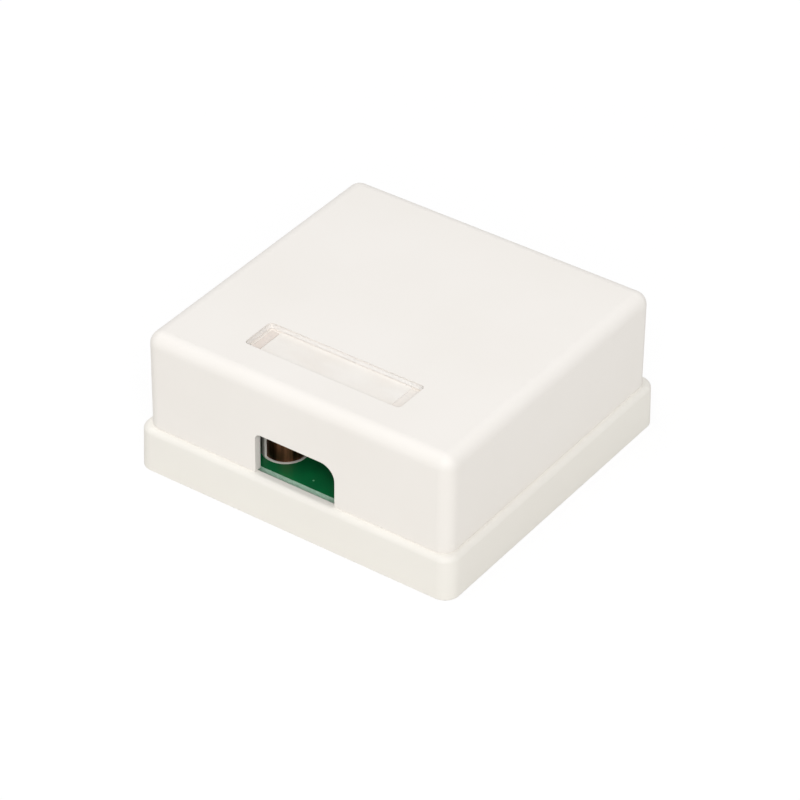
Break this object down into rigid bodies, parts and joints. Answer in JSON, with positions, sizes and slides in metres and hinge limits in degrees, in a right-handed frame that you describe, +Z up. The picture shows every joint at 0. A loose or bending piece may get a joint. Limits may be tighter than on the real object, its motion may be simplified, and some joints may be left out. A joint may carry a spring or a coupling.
{
  "type": "surface mount jack box",
  "caption": "Small square surface mount box with a lift-off cover, a label window, a cable opening and two shielded modular sockets on a circuit board.",
  "frame": {"origin": "centre of the base tray's underside", "axes": "+Z up from the mounting surface, -Y towards the cable opening, +Y towards the sockets, +X along the wider side"},
  "size_m": [0.0666, 0.065, 0.028],
  "materials": {
    "white_abs": "fine satin moulded, slightly warm white",
    "clear_polycarbonate": "clear polished moulding",
    "white_paper": "plain matt card",
    "green_laminate": "green solder mask over glass laminate",
    "bronze_strip": "rolled brown bronze, streaked along its height",
    "zinc_steel": "bright zinc plate",
    "black_pbt": "fine satin moulded",
    "grey_pbt": "fine satin moulded",
    "ivory_pbt": "fine satin moulded",
    "gold_contact": "gold flash over nickel",
    "nickel_sheet": "bright nickel over brass sheet",
    "tinned_bronze": "matt tin plate"
  },
  "bodies": {
    "base": {"base_tray": "white_abs", "circuit_board": "green_laminate", "shield_sleeve": "bronze_strip", "board_screw_front_left": "zinc_steel", "board_screw_front_right": "zinc_steel", "board_screw_rear_left": "zinc_steel", "board_screw_rear_right": "zinc_steel", "jack_housing_left": "black_pbt", "jack_carrier_left": "grey_pbt", "jack_contacts_left": "gold_contact", "jack_shield_left": "nickel_sheet", "idc_block_left": "ivory_pbt", "idc_contacts_left": "tinned_bronze", "jack_housing_right": "black_pbt", "jack_carrier_right": "grey_pbt", "jack_contacts_right": "gold_contact", "jack_shield_right": "nickel_sheet", "idc_block_right": "ivory_pbt", "idc_contacts_right": "tinned_bronze"},
    "cover": {"cover": "white_abs", "label_card": "white_paper"},
    "window": {"label_window": "clear_polycarbonate"}
  },
  "joints": [
    {"name": "cover_lift", "type": "slide", "parent": "base", "child": "cover", "axis": [0, 0, 1], "range_m": [0, 0.03]},
    {"name": "window_lift", "type": "slide", "parent": "cover", "child": "window", "axis": [0, 0, 1], "range_m": [0, 0.006]}
  ]
}
